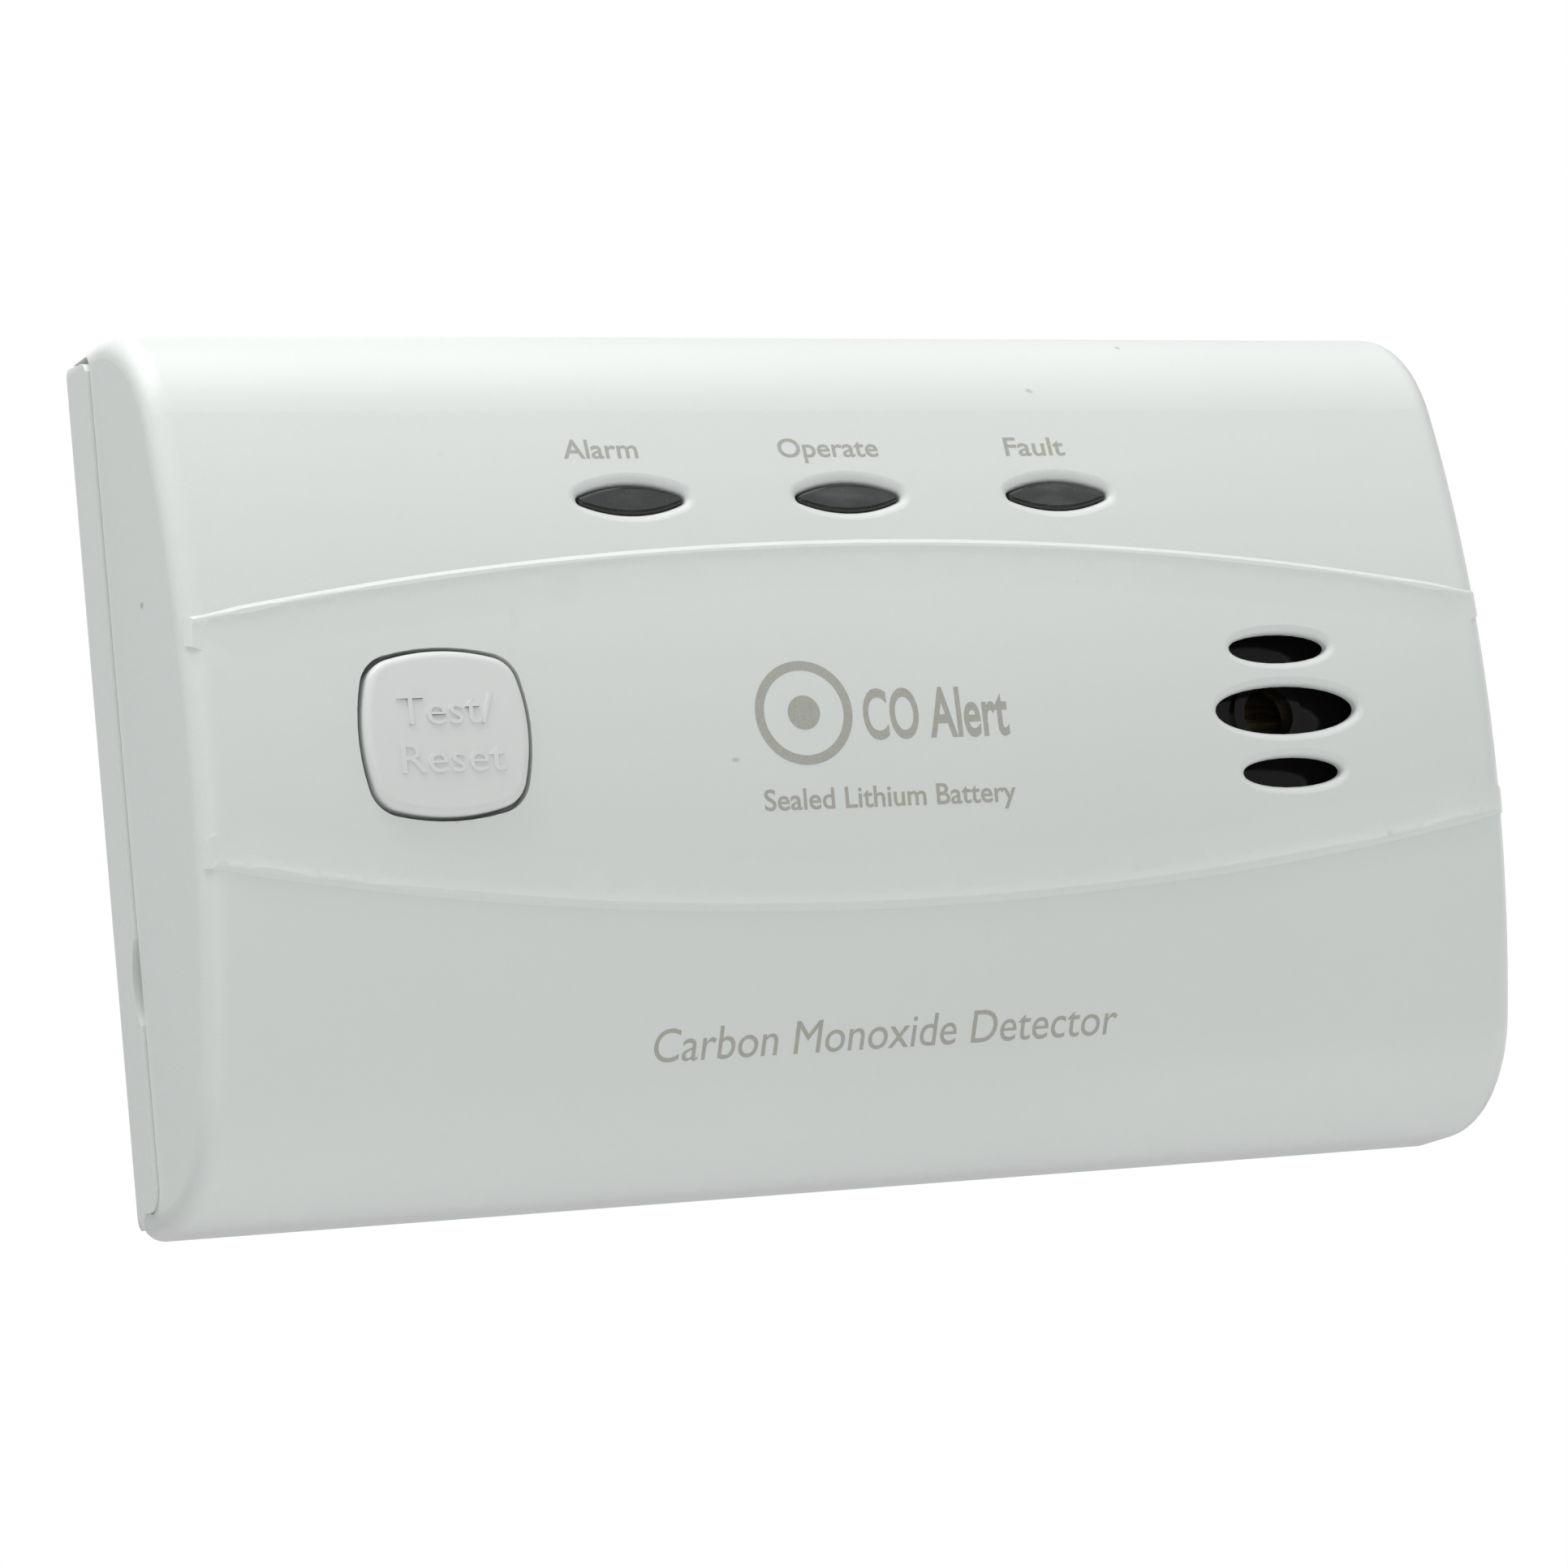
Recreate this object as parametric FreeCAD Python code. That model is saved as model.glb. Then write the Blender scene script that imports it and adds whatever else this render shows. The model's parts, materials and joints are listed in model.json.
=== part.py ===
import FreeCAD, Part
import math
import os

# A wall-hung carbon monoxide detector, in millimetres.
# X runs across the case, Y into the wall and Z up. The wall face is the plane Y = 0.

V = FreeCAD.Vector

# Case
WIDTH = 127.0
HEIGHT = 76.9
CASE_DEPTH = 22.8
FRONT_RADIUS = 101.4
CORNER_RADIUS = 13.5
END_DRAFT = math.tan(math.radians(3.5))
TOP_DRAFT = math.tan(math.radians(1.6))
END_ROUND = 2.0
WALL = 2.0
WALL_GAP = 0.3

# Two shallow arcs across the front, each a raised lip: crisp outside and fading away inside
LIP_END_Z = 9.75
LIP_MID_Z = 16.0
LIP_RISE = 0.3
LIP_FADE = 6.0
LIP_END_SHARE = 0.2
LIP_SINK = 0.06
LIP_OUTSIDE = ((0.34, -LIP_SINK), (0.13, 0.15), (-0.05, LIP_RISE))
LIP_INSIDE = ((-0.85, 0.197), (-1.65, 0.116), (-2.45, 0.056), (-3.25, 0.018), (-4.05, -0.001),
              (-4.45, -0.012))
LIP_STATIONS = (0.0, 15.0, 30.0, 45.0, 54.0, 57.5, 59.5, 61.5, 63.0, 64.5)

# Indicator windows
WINDOW_Z = 20.25
WINDOW_PITCH = 20.5
WINDOW_LENGTH = 11.1
WINDOW_HEIGHT = 2.8
WINDOW_TIP = 0.45
WINDOW_RECESS = 0.3
WINDOW_RIM = 0.9
LENS_ROUND = 0.35
WINDOW_NODES = ("alarm", "operate", "fault")

# Sounder vents: height above the middle, length and height of each ellipse
VENT_X = 39.95
VENTS = ((5.5, 10.0, 2.75), (-0.15, 14.4, 4.45), (-5.8, 10.1, 2.75))
VENT_RIM = 0.7
VENT_WALL = 1.2
VENT_POCKET_R = 10.5

# Test button
BUTTON_X = -40.2
BUTTON_HOLE_W = 15.2
BUTTON_HOLE_H = 14.7
BUTTON_GAP = 0.38
BUTTON_BULGE = 1.1
BUTTON_CORNER = 3.1
BUTTON_PROUD = 0.75
BUTTON_TRAVEL = 0.8
BUTTON_FLANGE_Y = -19.9

# Rear cover
REAR_OUTER_Y = -0.4
REAR_THICK = 1.5
STRIP_DEPTH = 5.2
STRIP_TOP_Z = 36.5
STRIP_RISE = 0.9
STRIP_GAP = 0.22
STRIP_WALL = 1.6
STRIP_PROUD = 0.33
RECESS_Y = -2.4
RECESS_X = 42.0
RECESS_LOW_Z = -23.0
RECESS_HIGH_Z = 26.5

# Wall bracket and the hooks that the case hangs on
BRACKET_X = 40.0
BRACKET_LOW_Z = -17.0
BRACKET_HIGH_Z = 25.5
BRACKET_THICK = 1.8
SCREW_X = 27.0
SCREW_Z = 3.0
SCREW_HOLE_R = 2.25
LIFT = 5.0
HOOK_X = 35.0
HOOK_TOPS = (17.0, -13.0)
HOOK_WIDTH = 8.0
HOOK_STEM = 2.0
HOOK_LIP = 4.2
HOOK_LIP_THICK = 1.3
HOOK_GAP = 0.3

# Circuit board
BOARD_BACK_Y = -7.0
BOARD_THICK = 1.6
BOARD_X = 50.0
BOARD_LOW_Z = -29.0
BOARD_HIGH_Z = 29.5

# Battery cell, along X
CELL_R = 7.25
CELL_LENGTH = 49.5
CELL_X = -30.5
CELL_Y = -11.55
CELL_Z = -17.0

# Carbon monoxide sensor, along X
SENSOR_R = 7.0
SENSOR_LENGTH = 37.5
SENSOR_X = -20.5
SENSOR_Y = -12.2
SENSOR_Z = 5.0

# Sounder
SOUNDER_R = 14.6
SOUNDER_WALL = 1.2
SOUNDER_FRONT_Y = -18.2
PORT_R = 2.5
DISC_Y = -13.0

# Screws
CASE_SCREW_X = 55.5
CASE_SCREW_Z = 29.0
BOARD_SCREWS = ((-42.0, 24.0), (42.0, 24.0), (42.0, -24.0))

# Activation switch
SLIDE_X = -37.0
SLIDE_Z = -27.5
SLIDE_TRAVEL = 2.0

BOARD_FRONT_Y = BOARD_BACK_Y - BOARD_THICK
REAR_INNER_Y = REAR_OUTER_Y - REAR_THICK
RECESS_INNER_Y = RECESS_Y - REAR_THICK
FAR = 200.0


def box(x0, x1, y0, y1, z0, z1):
    return Part.makeBox(x1 - x0, y1 - y0, z1 - z0, V(x0, y0, z0))


def rod_y(x, z, r, y0, y1):
    """Cylinder along Y from y0 to y1."""
    return Part.makeCylinder(r, y1 - y0, V(x, y0, z), V(0, 1, 0))


def rod_x(y, z, r, x0, x1):
    return Part.makeCylinder(r, x1 - x0, V(x0, y, z), V(1, 0, 0))


def fuse_all(solids):
    return solids[0].multiFuse(solids[1:]).removeSplitter()


def group(solids):
    return Part.makeCompound(solids)


def section_points(grow):
    """Corner centre, corner radius and the tangent turn of the section, grown outwards by grow.

    The centre lies one corner radius inside the drafted top and one corner radius inside the front arc.
    """
    reach = FRONT_RADIUS - CORNER_RADIUS
    centre_y = FRONT_RADIUS - CASE_DEPTH
    line_z = HEIGHT / 2 - CORNER_RADIUS * math.hypot(1, TOP_DRAFT)
    a = 1 + TOP_DRAFT ** 2
    b = line_z * TOP_DRAFT - centre_y
    c = centre_y ** 2 + line_z ** 2 - reach ** 2
    corner_y = (-b - math.sqrt(b ** 2 - a * c)) / a
    corner_z = line_z + TOP_DRAFT * corner_y
    turn = math.atan2(corner_z, centre_y - corner_y)
    return corner_y, corner_z, CORNER_RADIUS + grow, turn


def case_section(grow, back_y):
    """D-shaped section of the case: drafted top and bottom, round corners and one long front arc."""
    corner_y, corner_z, radius, turn = section_points(grow)
    top = HEIGHT / 2 + grow * math.hypot(1, TOP_DRAFT) + TOP_DRAFT * back_y
    top_turn = math.pi / 2 - math.atan(TOP_DRAFT)
    half_turn = (turn + top_turn) / 2

    def corner(angle, side):
        return V(0, corner_y - radius * math.cos(angle), side * (corner_z + radius * math.sin(angle)))

    front = V(0, -CASE_DEPTH - grow, 0)
    edges = [
        Part.LineSegment(V(0, back_y, top), corner(top_turn, 1)).toShape(),
        Part.Arc(corner(top_turn, 1), corner(half_turn, 1), corner(turn, 1)).toShape(),
        Part.Arc(corner(turn, 1), front, corner(turn, -1)).toShape(),
        Part.Arc(corner(turn, -1), corner(half_turn, -1), corner(top_turn, -1)).toShape(),
        Part.LineSegment(corner(top_turn, -1), V(0, back_y, -top)).toShape(),
        Part.LineSegment(V(0, back_y, -top), V(0, back_y, top)).toShape(),
    ]
    return Part.Face(Part.Wire(edges))


def drafted_plan(inset):
    """Plan of the case as a tall prism: its ends lean inwards towards the front."""
    half = WIDTH / 2 - inset
    deep = CASE_DEPTH + 5
    lean = END_DRAFT * deep
    points = [V(-half, 0, -FAR), V(half, 0, -FAR), V(half - lean, -deep, -FAR), V(-half + lean, -deep, -FAR)]
    return Part.Face(Part.makePolygon(points + points[:1])).extrude(V(0, 0, 2 * FAR))


def case_solid(grow, inset, back_y, rounding):
    """Solid of the section between the drafted ends, with its end edges rounded."""
    prism = case_section(grow, back_y).extrude(V(WIDTH, 0, 0))
    prism.translate(V(-WIDTH / 2, 0, 0))
    solid = prism.common(drafted_plan(inset)).Solids[0]
    if rounding == 0:
        return solid
    edges = []
    for face in solid.Faces:
        if abs(face.normalAt(0, 0).x) > 0.9:
            edges += [e for e in face.Edges if e.CenterOfMass.y < back_y - 0.01]
    return solid.makeFillet(rounding, edges).Solids[0]


def ellipse_prism(x, z, length, height, y0, y1):
    curve = Part.Ellipse(V(x + length / 2, y0, z), V(x, y0, z + height / 2), V(x, y0, z))
    return Part.Face(Part.Wire(curve.toShape())).extrude(V(0, y1 - y0, 0))


def lens_prism(x, z, length, height, y0, y1):
    """Prism of a lens outline, the overlap of two equal arcs with its two tips rounded."""
    left = V(x - length / 2, y0, z)
    right = V(x + length / 2, y0, z)
    upper = Part.Arc(left, V(x, y0, z + height / 2), right).toShape()
    lower = Part.Arc(right, V(x, y0, z - height / 2), left).toShape()
    prism = Part.Face(Part.Wire([upper, lower])).extrude(V(0, y1 - y0, 0))
    return prism.makeFillet(WINDOW_TIP, upright_edges(prism)).Solids[0]


def upright_edges(prism):
    """Edges of a prism that run along Y."""
    return [e for e in prism.Edges if abs(e.Vertexes[0].Point.y - e.Vertexes[-1].Point.y) > 0.5]


def bulged_prism(x, width, height, y0, y1, bulge, corner):
    """Prism of a square whose four sides bow outwards, with round corners."""
    a = width / 2
    b = height / 2
    points = [V(x - a + bulge, y0, b - bulge), V(x, y0, b), V(x + a - bulge, y0, b - bulge), V(x + a, y0, 0)]
    points += [V(x + a - bulge, y0, bulge - b), V(x, y0, -b), V(x - a + bulge, y0, bulge - b), V(x - a, y0, 0)]
    points.append(points[0])
    sides = [Part.Arc(points[i], points[i + 1], points[i + 2]).toShape() for i in (0, 2, 4, 6)]
    prism = Part.Face(Part.Wire(sides)).extrude(V(0, y1 - y0, 0))
    return prism.makeFillet(corner, upright_edges(prism)).Solids[0]


def lip(side):
    """Raised lip along one arc, lofted through cross-sections, narrowing and sinking away at both ends."""
    sag = LIP_MID_Z - LIP_END_Z
    arc_r = ((WIDTH / 2) ** 2 + sag ** 2) / (2 * sag)
    sections = []
    for x in [-x for x in LIP_STATIONS[:0:-1]] + list(LIP_STATIONS):
        edge_z = LIP_MID_Z - arc_r + math.sqrt(arc_r ** 2 - x ** 2)
        share = min(1, max(0, (WIDTH / 2 - abs(x)) / LIP_FADE))
        points = []
        for across, rise in LIP_OUTSIDE + LIP_INSIDE:
            z = edge_z + across * (LIP_END_SHARE + (1 - LIP_END_SHARE) * share)
            surface_y = FRONT_RADIUS - CASE_DEPTH - math.sqrt(FRONT_RADIUS ** 2 - z ** 2)
            points.append(V(x, surface_y - share * rise + (1 - share) * LIP_SINK, side * z))
        crest = Part.BSplineCurve()
        crest.interpolate(points)
        inner = points[-1] + V(0, 0.6, 0)
        outer = points[0] + V(0, 0.6, 0)
        edges = [crest.toShape(), Part.LineSegment(points[-1], inner).toShape()]
        edges += [Part.LineSegment(inner, outer).toShape(), Part.LineSegment(outer, points[0]).toShape()]
        sections.append(Part.Wire(edges))
    return Part.makeLoft(sections, True, False)


def strip_outline(gap):
    """Side view of an end strip, grown by gap: sloping top, straight front and an S-curve at the foot."""
    front = -STRIP_DEPTH - gap
    top = STRIP_TOP_Z + 2 * gap
    back_top = top + STRIP_RISE - gap
    crest = V(0, front + 1.8, top + 0.3 + gap)
    bend = -34.4
    mid = V(0, front / 2 - 0.35, -36.2 - gap / 2)
    foot = V(0, -0.9 - gap / 2, -37.4)
    edges = [
        Part.LineSegment(V(0, 1, back_top), crest).toShape(),
        Part.Arc(crest, V(0, front + 0.5, top - 0.1), V(0, front, top - 0.7)).toShape(),
        Part.LineSegment(V(0, front, top - 0.7), V(0, front, bend)).toShape(),
        Part.Arc(V(0, front, bend), V(0, front + 0.5, bend - 1.1), mid).toShape(),
        Part.Arc(mid, V(0, foot.y - 0.35, foot.z + 0.75), foot).toShape(),
        Part.LineSegment(foot, V(0, 1, foot.z)).toShape(),
        Part.LineSegment(V(0, 1, foot.z), V(0, 1, back_top)).toShape(),
    ]
    return Part.Face(Part.Wire(edges))


def end_prism(gap, side, inner_x):
    """The strip's outline carried out through one end of the case from inner_x."""
    prism = strip_outline(gap).extrude(V(side * (WIDTH / 2 + 1 - inner_x), 0, 0))
    prism.translate(V(side * inner_x, 0, 0))
    return prism


def outer_case():
    """The cover's outside as a solid: the rounded section with its two lips, inside the proud end strips."""
    limit = case_solid(LIP_RISE + 0.02, STRIP_PROUD, -WALL_GAP, END_ROUND)
    lips = [lip(side).common(limit) for side in (-1, 1)]
    return case_solid(0, STRIP_PROUD, -WALL_GAP, END_ROUND).multiFuse(lips).Solids[0]


def boss(x, z, r, back_y):
    """Round post from the cover's front wall back to back_y, kept inside the outer surface."""
    limit = case_solid(-WALL / 2, WALL / 2 + STRIP_PROUD, 0, 0)
    return rod_y(x, z, r, -CASE_DEPTH - 1, back_y).common(limit)


def front_cover(outer):
    shell = outer.cut(case_solid(-WALL, WALL + STRIP_PROUD, 1, 0))
    pocket = rod_y(VENT_X, 0, VENT_POCKET_R, -FAR, -CASE_DEPTH / 2)
    shell = shell.cut(pocket.common(case_solid(-VENT_WALL, WALL + STRIP_PROUD, 1, 0)))
    cutters = [end_prism(STRIP_GAP, side, WIDTH / 2 - WALL - 1.5) for side in (-1, 1)]
    shell = shell.cut(Part.makeCompound(cutters))
    posts = [boss(x, z, 2.8, REAR_INNER_Y - 1.2) for x in (-CASE_SCREW_X, CASE_SCREW_X)
             for z in (-CASE_SCREW_Z, CASE_SCREW_Z)]
    posts += [boss(x, z, 2.5, BOARD_FRONT_Y) for x, z in BOARD_SCREWS]
    collar = rod_y(VENT_X, 0, SOUNDER_R + 1.6, -FAR, -14.0).cut(rod_y(VENT_X, 0, SOUNDER_R + 0.4, -FAR, -13))
    posts.append(collar.common(case_solid(-WALL / 2, WALL / 2 + STRIP_PROUD, 0, 0)))
    shell = fuse_all([shell] + posts)
    holes = [rod_y(x, z, 1.3, -13.0, 0) for x in (-CASE_SCREW_X, CASE_SCREW_X)
             for z in (-CASE_SCREW_Z, CASE_SCREW_Z)]
    holes += [rod_y(x, z, 1.05, -14.5, 0) for x, z in BOARD_SCREWS]
    for z, length, height in VENTS:
        holes.append(ellipse_prism(VENT_X, z, length, height, -FAR, -CASE_DEPTH / 2))
    for i in (-1, 0, 1):
        x = i * WINDOW_PITCH
        holes.append(lens_prism(x, WINDOW_Z, WINDOW_LENGTH, WINDOW_HEIGHT, -FAR, -CASE_DEPTH / 2))
    holes.append(bulged_prism(BUTTON_X, BUTTON_HOLE_W, BUTTON_HOLE_H, -CASE_DEPTH - 5, -12,
                              BUTTON_BULGE, BUTTON_CORNER))
    shell = shell.cut(Part.makeCompound(holes)).Solids[0]
    vents = [(VENT_X, z, length) for z, length, _ in VENTS]
    windows = [(i * WINDOW_PITCH, WINDOW_Z, WINDOW_LENGTH) for i in (-1, 0, 1)]
    shell = shell.makeFillet(VENT_RIM, outer_rims(shell, vents)).Solids[0]
    return shell.makeFillet(WINDOW_RIM, outer_rims(shell, windows)).Solids[0]


def outer_rims(shell, centres):
    """Edges of the openings at the given centres where they meet the outer surface."""
    rims = []
    for edge in shell.Edges:
        middle = edge.CenterOfMass
        depth = -middle.y + middle.z ** 2 / (2 * FRONT_RADIUS)
        for x, z, length in centres:
            near = abs(middle.x - x) < 1 and abs(middle.z - z) < 2
            if near and edge.Length > length * 0.8 and depth > CASE_DEPTH - 1:
                rims.append(edge)
    return rims


def rear_cover():
    plate = case_section(-WALL - 0.15, REAR_OUTER_Y).extrude(V(WIDTH, 0, 0))
    plate.translate(V(-WIDTH / 2, 0, 0))
    inside = WIDTH / 2 - STRIP_PROUD - WALL - 0.25
    full = case_solid(0, 0, -WALL_GAP, END_ROUND)
    plate = plate.common(box(-inside, inside, REAR_INNER_Y, REAR_OUTER_Y, -FAR, FAR))
    tray = box(-RECESS_X - 1.4, RECESS_X + 1.4, RECESS_INNER_Y, REAR_OUTER_Y,
               RECESS_LOW_Z - 1.4, RECESS_HIGH_Z + 1.4)
    solids = [plate, tray]
    for x in (-SCREW_X, SCREW_X):
        solids.append(box(x - 6.2, x + 6.2, -6.2, REAR_OUTER_Y, SCREW_Z - LIFT - 6.2, SCREW_Z + 6.2))
    for x in (-CASE_SCREW_X, CASE_SCREW_X):
        for z in (-CASE_SCREW_Z, CASE_SCREW_Z):
            solids.append(rod_y(x, z, 3.8, REAR_INNER_Y - 1.2, REAR_OUTER_Y))
    for x in (-22.0, 10.0):
        solids.append(box(x - 0.8, x + 0.8, -8.0, RECESS_INNER_Y + 0.1, -24.2, -10.2))
    for side in (-1, 1):
        strip = end_prism(0, side, WIDTH / 2 - STRIP_WALL).common(full)
        shelf_x = WIDTH / 2 - STRIP_WALL - 1.5
        shelf = box(shelf_x, shelf_x + 2.1, REAR_INNER_Y, REAR_OUTER_Y, -33.5, STRIP_TOP_Z - 1.2)
        if side < 0:
            shelf = shelf.mirror(V(0, 0, 0), V(1, 0, 0))
        solids += [strip, shelf]
    cover = fuse_all(solids)
    cuts = [box(-RECESS_X, RECESS_X, RECESS_Y, 1, RECESS_LOW_Z, RECESS_HIGH_Z)]
    for x in (-SCREW_X, SCREW_X):
        cuts.append(box(x - 5, x + 5, -4.8, 1, SCREW_Z - LIFT - 5, SCREW_Z + 5))
    for x in (-HOOK_X, HOOK_X):
        for top in HOOK_TOPS:
            cuts.append(hook_slot(x, top))
    for x in (-CASE_SCREW_X, CASE_SCREW_X):
        for z in (-CASE_SCREW_Z, CASE_SCREW_Z):
            cuts.append(rod_y(x, z, 2.7, -1.7, 1))
            cuts.append(rod_y(x, z, 1.45, -FAR, 1))
    cuts.append(rod_x(CELL_Y, CELL_Z, CELL_R + 0.1, -FAR, FAR))
    cuts.append(slide_slot())
    cuts += [box(x - 3, x + 3, -3, 1, 29.2, 30.4) for x in range(-36, 37, 9)]
    return cover.cut(Part.makeCompound(cuts)).Solids[0]


def hook_slot(x, top):
    """Slot in the rear cover: its top edge hangs on the hook's stem, its foot lets the lip out."""
    half = HOOK_WIDTH / 2 + 0.5
    low = top - HOOK_STEM - LIFT - HOOK_GAP
    return box(x - half, x + half, -6, 1, low, top)


def wall_bracket():
    plate = box(-BRACKET_X, BRACKET_X, -BRACKET_THICK, 0, BRACKET_LOW_Z, BRACKET_HIGH_Z)
    plate = plate.makeFillet(4.0, upright_edges(plate))
    lip_y = RECESS_INNER_Y - HOOK_GAP
    solids = [plate]
    windows = []
    for x in (-HOOK_X, HOOK_X):
        for top in HOOK_TOPS:
            half = HOOK_WIDTH / 2
            tip_y = lip_y - HOOK_LIP_THICK
            solids.append(box(x - half, x + half, tip_y, -0.2, top - HOOK_STEM, top))
            solids.append(box(x - half, x + half, tip_y, lip_y, top - HOOK_STEM, top + HOOK_LIP))
            high = top + HOOK_LIP + 0.8
            windows.append(box(x - half - 0.2, x + half + 0.2, -BRACKET_THICK - 0.1, 1, top, high))
    bracket = fuse_all(solids)
    holes = [rod_y(x, SCREW_Z, SCREW_HOLE_R, -FAR, 1) for x in (-SCREW_X, SCREW_X)]
    return bracket.cut(Part.makeCompound(windows + holes)).Solids[0]


def test_button():
    """Cap with a rounded edge, a flange behind the cover's wall, and a post to the switch."""
    wide = BUTTON_HOLE_W - 2 * BUTTON_GAP
    high = BUTTON_HOLE_H - 2 * BUTTON_GAP
    corner = BUTTON_CORNER - BUTTON_GAP
    front = -CASE_DEPTH - 5
    cap = bulged_prism(BUTTON_X, wide, high, front, BUTTON_FLANGE_Y, BUTTON_BULGE, corner)
    limit = case_section(BUTTON_PROUD, 0).extrude(V(WIDTH, 0, 0))
    limit.translate(V(-WIDTH / 2, 0, 0))
    cap = cap.common(limit).Solids[0]
    face = min(cap.Faces, key=lambda f: f.CenterOfMass.y)
    cap = cap.makeFillet(0.7, face.Edges).Solids[0]
    flange = bulged_prism(BUTTON_X, wide + 2.2, high + 2.2, BUTTON_FLANGE_Y, BUTTON_FLANGE_Y + 1.0,
                          BUTTON_BULGE, corner + 1.0)
    roof_y = -CASE_DEPTH + 0.9
    post = rod_y(BUTTON_X, 0, 2.0, roof_y - 0.4, -13.35)
    ribs = [box(BUTTON_X - 4.8, BUTTON_X + 4.8, roof_y - 0.4, -17.5, -0.5, 0.5)]
    ribs.append(box(BUTTON_X - 0.5, BUTTON_X + 0.5, roof_y - 0.4, -17.5, -4.4, 4.4))
    hollow = bulged_prism(BUTTON_X, wide - 2.8, high - 2.8, roof_y, -17, BUTTON_BULGE, corner - 1.0)
    return fuse_all([cap, flange]).cut(hollow).multiFuse([post] + ribs).removeSplitter().Solids[0]


def switch_plunger():
    return rod_y(BUTTON_X, 0, 1.7, -13.3, -10.2)


def test_switch_body():
    body = box(BUTTON_X - 3, BUTTON_X + 3, -12.1, BOARD_FRONT_Y, -3, 3)
    return body.cut(rod_y(BUTTON_X, 0, 1.76, -13, -9.2))


def light_pipe(x):
    """Smoked lens in its window, with a flange behind the wall and a stem back to the lamp."""
    head = lens_prism(x, WINDOW_Z, WINDOW_LENGTH - 0.2, WINDOW_HEIGHT - 0.14, -CASE_DEPTH - 1, -18.0)
    limit = case_section(-WINDOW_RECESS, 0).extrude(V(WIDTH, 0, 0))
    limit.translate(V(-WIDTH / 2, 0, 0))
    head = head.common(limit).Solids[0]
    face = min(head.Faces, key=lambda f: f.CenterOfMass.y)
    head = head.makeFillet(LENS_ROUND, face.Edges).Solids[0]
    flange = lens_prism(x, WINDOW_Z, WINDOW_LENGTH + 3.0, WINDOW_HEIGHT + 1.6, -18.1, -17.1)
    stem = rod_y(x, WINDOW_Z, 2.0, -17.6, -13.0)
    return fuse_all([head, flange, stem]).Solids[0]


def lamp(x):
    """Through-hole indicator lamp: flanged base and domed body standing on the board."""
    base = rod_y(x, WINDOW_Z, 1.9, BOARD_FRONT_Y - 0.9, BOARD_FRONT_Y)
    body = rod_y(x, WINDOW_Z, 1.5, BOARD_FRONT_Y - 2.5, BOARD_FRONT_Y)
    dome = Part.makeSphere(1.5, V(x, BOARD_FRONT_Y - 2.5, WINDOW_Z))
    return fuse_all([base, body, dome]).Solids[0]


def circuit_board():
    board = box(-BOARD_X, BOARD_X, BOARD_FRONT_Y, BOARD_BACK_Y, BOARD_LOW_Z, BOARD_HIGH_Z)
    cuts = [box(CELL_X - 1.2, CELL_X + CELL_LENGTH + 3.2, -FAR, 0, -FAR, -9.2)]
    cuts.append(box(SENSOR_X - 0.6, SENSOR_X + SENSOR_LENGTH + 0.6, -FAR, 0, SENSOR_Z - 7.5, SENSOR_Z + 7.5))
    cuts += [rod_y(x, z, 1.2, -FAR, 0) for x, z in BOARD_SCREWS]
    return board.cut(Part.makeCompound(cuts)).Solids[0]


def gull_chip(x, z, length, width, height, pins):
    """Small-outline chip: a body with a row of flat leads along each long side."""
    y = BOARD_FRONT_Y
    body = box(x - length / 2, x + length / 2, y - height, y - 0.12, z - width / 2, z + width / 2)
    solids = [body.makeChamfer(0.2, body.Edges)]
    pitch = 1.27
    first = x - pitch * (pins - 1) / 2
    for i in range(pins):
        px = first + i * pitch
        for side in (-1, 1):
            inner = z + side * (width / 2 - 0.2)
            outer = z + side * (width / 2 + 1.0)
            lead = box(px - 0.2, px + 0.2, y - 0.2, y, min(inner, outer), max(inner, outer))
            solids.append(lead)
    return fuse_all(solids)


def chip_part(x, z, length, width, height):
    y = BOARD_FRONT_Y
    return box(x - length / 2, x + length / 2, y - height, y, z - width / 2, z + width / 2)


def resistors():
    spots = [(-12.0 + 5 * i, -6.0) for i in range(6)]
    spots += [(-27.5 + 5 * i, 26.0) for i in range(3)]
    spots += [(26.0 + 5 * i, 26.0) for i in range(3)]
    return group([chip_part(x, z, 3.2, 1.6, 0.6) for x, z in spots])


def ceramic_capacitors():
    spots = [(-27.5 + 5 * i, 23.4) for i in range(3)]
    spots += [(26.0 + 5 * i, 22.5) for i in range(2)]
    spots += [(-42.5, -18.0), (-37.5, -25.5)]
    return group([chip_part(x, z, 2.0, 1.25, 0.9) for x, z in spots])


def electrolytic_capacitors():
    cans = []
    for x, z, r, tall in ((-41.0, -12.0, 2.5, 7.0), (-35.0, -12.5, 2.5, 7.0), (42.0, -18.0, 2.0, 5.0)):
        can = rod_y(x, z, r, BOARD_FRONT_Y - tall, BOARD_FRONT_Y)
        groove = rod_y(x, z, r + 1, BOARD_FRONT_Y - 1.6, BOARD_FRONT_Y - 1.1)
        groove = groove.cut(rod_y(x, z, r - 0.2, BOARD_FRONT_Y - 1.6, BOARD_FRONT_Y - 1.1))
        cans.append(can.cut(groove))
    return group(cans)


def sounder_coil():
    x = 31.0
    z = -22.0
    core = rod_y(x, z, 2.4, BOARD_FRONT_Y - 7.2, BOARD_FRONT_Y)
    flanges = [rod_y(x, z, 4.0, BOARD_FRONT_Y - 1.2, BOARD_FRONT_Y)]
    flanges.append(rod_y(x, z, 4.0, BOARD_FRONT_Y - 7.2, BOARD_FRONT_Y - 6.2))
    winding = rod_y(x, z, 3.4, BOARD_FRONT_Y - 6.2, BOARD_FRONT_Y - 1.2)
    return fuse_all([core, winding] + flanges).Solids[0]


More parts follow.
